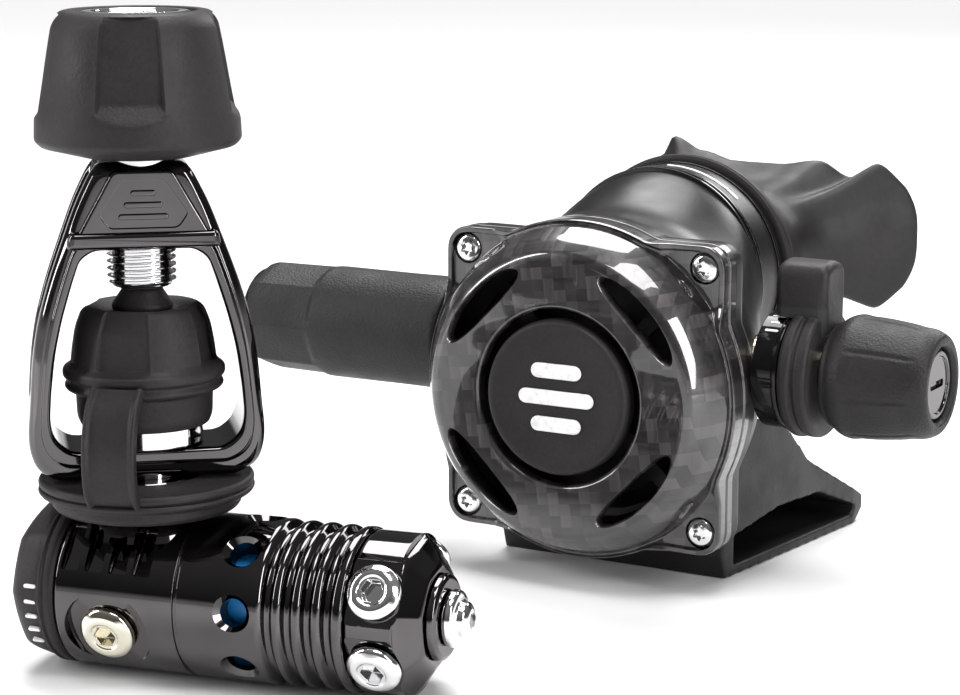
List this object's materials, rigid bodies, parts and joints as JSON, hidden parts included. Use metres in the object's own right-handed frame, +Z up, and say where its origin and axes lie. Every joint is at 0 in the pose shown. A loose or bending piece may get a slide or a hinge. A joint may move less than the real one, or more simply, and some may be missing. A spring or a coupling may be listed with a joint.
{
  "type": "scuba regulator set",
  "caption": "Scuba regulator set: a yoke first stage with a swivel port turret and dust cap, and a demand second stage with purge button, adjustment knob, lever, exhaust tee and mouthpiece.",
  "frame": {"origin": "centre of the bounding box in plan, on the surface that both stages stand on", "axes": "+Z up, the second stage faces -Y and its valve axis, from inlet to adjustment knob, runs along +X; the first stage stands in front of it"},
  "size_m": [0.1986, 0.2538, 0.15],
  "materials": {
    "dark_chrome": "black nickel plate, mirror gloss",
    "bright_chrome": "bright plate",
    "stainless_steel": "bare spring and sheet steel",
    "plated_brass": "satin nickel plate over brass",
    "dark_rubber": "matte moulded grip rubber",
    "soft_silicone": "satin black silicone",
    "black_plastic": "fine matte moulding",
    "gloss_plastic": "polished black",
    "carbon_laminate": "twill weave under clear coat",
    "blue_plastic": "smooth blue moulding"
  },
  "bodies": {
    "first_stage": {"main_body": "dark_chrome", "end_cap": "dark_rubber", "side_plug_front": "bright_chrome", "side_plug_rear": "bright_chrome", "ambient_bush": "blue_plastic", "main_spring": "stainless_steel", "piston_seat": "black_plastic", "yoke_retainer": "bright_chrome", "inlet_filter": "plated_brass", "filter_clip": "stainless_steel", "yoke": "dark_chrome"},
    "screw_tip": {"screw_tip": "black_plastic"},
    "yoke_knob": {"yoke_knob": "dark_rubber", "yoke_screw": "bright_chrome", "knob_insert": "stainless_steel"},
    "dust_cap": {"dust_cap": "dark_rubber", "dust_cap_tether": "dark_rubber"},
    "turret": {"lp_turret": "dark_chrome", "lp_plug_1": "bright_chrome", "lp_plug_2": "bright_chrome", "lp_plug_3": "bright_chrome", "lp_plug_4": "bright_chrome", "swivel_retainer": "dark_chrome", "lp_plug_axial": "bright_chrome"},
    "piston": {"piston": "plated_brass"},
    "second_stage": {"case": "black_plastic", "front_cover": "carbon_laminate", "cover_screw_1": "bright_chrome", "cover_screw_2": "bright_chrome", "cover_screw_3": "bright_chrome", "cover_screw_4": "bright_chrome", "diaphragm_guard": "black_plastic", "purge_spring": "stainless_steel", "valve_barrel": "plated_brass", "inlet_orifice": "stainless_steel", "poppet_spring": "stainless_steel", "valve_collar": "gloss_plastic", "inlet_shoulder": "gloss_plastic", "mouthpiece": "soft_silicone", "mouthpiece_clamp": "dark_rubber", "exhaust_tee": "soft_silicone"},
    "purge_button": {"purge_button": "dark_rubber"},
    "diaphragm": {"diaphragm": "soft_silicone"},
    "demand_lever": {"demand_lever": "stainless_steel"},
    "poppet": {"poppet": "plated_brass"},
    "adjust_knob": {"adjust_knob": "dark_rubber", "adjust_insert": "bright_chrome", "adjust_spindle": "plated_brass"},
    "venturi_lever": {"venturi_lever": "black_plastic"},
    "hose_swivel": {"hose_sleeve": "dark_rubber", "swivel_nut": "bright_chrome"},
    "exhaust_valve": {"exhaust_valve": "soft_silicone"}
  },
  "joints": [
    {"name": "stage_lift", "type": "slide", "parent": "first_stage", "child": "second_stage", "axis": [0, 0, 1], "range_m": [0, 0.16]},
    {"name": "screw_travel", "type": "slide", "parent": "first_stage", "child": "screw_tip", "axis": [0, 0, 1], "range_m": [0, 0.01]},
    {"name": "knob_turn", "type": "hinge", "parent": "screw_tip", "child": "yoke_knob", "pos_m": [-0.042, -0.09872, 0.134], "axis": [0, 0, 1], "range_deg": [0, 2252]},
    {"name": "dust_cap_swivel", "type": "hinge", "parent": "first_stage", "child": "dust_cap", "pos_m": [-0.042, -0.09872, 0.045], "axis": [0, 0, 1], "range_deg": [-12, 45]},
    {"name": "turret_spin", "type": "hinge", "parent": "first_stage", "child": "turret", "pos_m": [-0.042, -0.09872, 0.0187], "axis": [0.9842, 0.1771, 0], "continuous": true},
    {"name": "piston_slide", "type": "slide", "parent": "first_stage", "child": "piston", "axis": [0.9842, 0.1771, 0], "range_m": [-0.0012, 0], "stiffness_N_per_m": 5000, "springref_m": 0.001, "deforming": ["main_spring"]},
    {"name": "purge_press", "type": "slide", "parent": "second_stage", "child": "purge_button", "axis": [0, 1, 0], "range_m": [0, 0.0022], "stiffness_N_per_m": 400, "springref_m": -0.0005, "deforming": ["purge_spring"]},
    {"name": "diaphragm_flex", "type": "slide", "parent": "second_stage", "child": "diaphragm", "axis": [0, 1, 0], "range_m": [0, 0.0022]},
    {"name": "lever_tilt", "type": "hinge", "parent": "second_stage", "child": "demand_lever", "pos_m": [0.0007, 0.02648, 0.0565], "axis": [0, 0, 1], "range_deg": [0, 6.5]},
    {"name": "poppet_slide", "type": "slide", "parent": "second_stage", "child": "poppet", "axis": [1, 0, 0], "range_m": [0, 0.0006], "deforming": ["poppet_spring"]},
    {"name": "adjust_turn", "type": "hinge", "parent": "second_stage", "child": "adjust_knob", "pos_m": [0.0877, 0.03288, 0.0565], "axis": [1, 0, 0], "range_deg": [-720, 720]},
    {"name": "venturi_swing", "type": "hinge", "parent": "second_stage", "child": "venturi_lever", "pos_m": [0.0657, 0.03288, 0.0565], "axis": [1, 0, 0], "range_deg": [-45, 0]},
    {"name": "hose_turn", "type": "hinge", "parent": "second_stage", "child": "hose_swivel", "pos_m": [-0.0693, 0.03288, 0.0565], "axis": [1, 0, 0], "continuous": true},
    {"name": "exhaust_open", "type": "slide", "parent": "second_stage", "child": "exhaust_valve", "axis": [0, 0, -1], "range_m": [0, 0.0015], "stiffness_N_per_m": 100, "springref_m": -0.0003}
  ],
  "couplings": [
    {"joint": "knob_turn", "follows": "screw_travel", "rad_per_m": 3927},
    {"joint": "diaphragm_flex", "follows": "purge_press", "ratio": 1},
    {"joint": "lever_tilt", "follows": "purge_press", "rad_per_m": 50},
    {"joint": "poppet_slide", "follows": "purge_press", "ratio": 0.22}
  ]
}
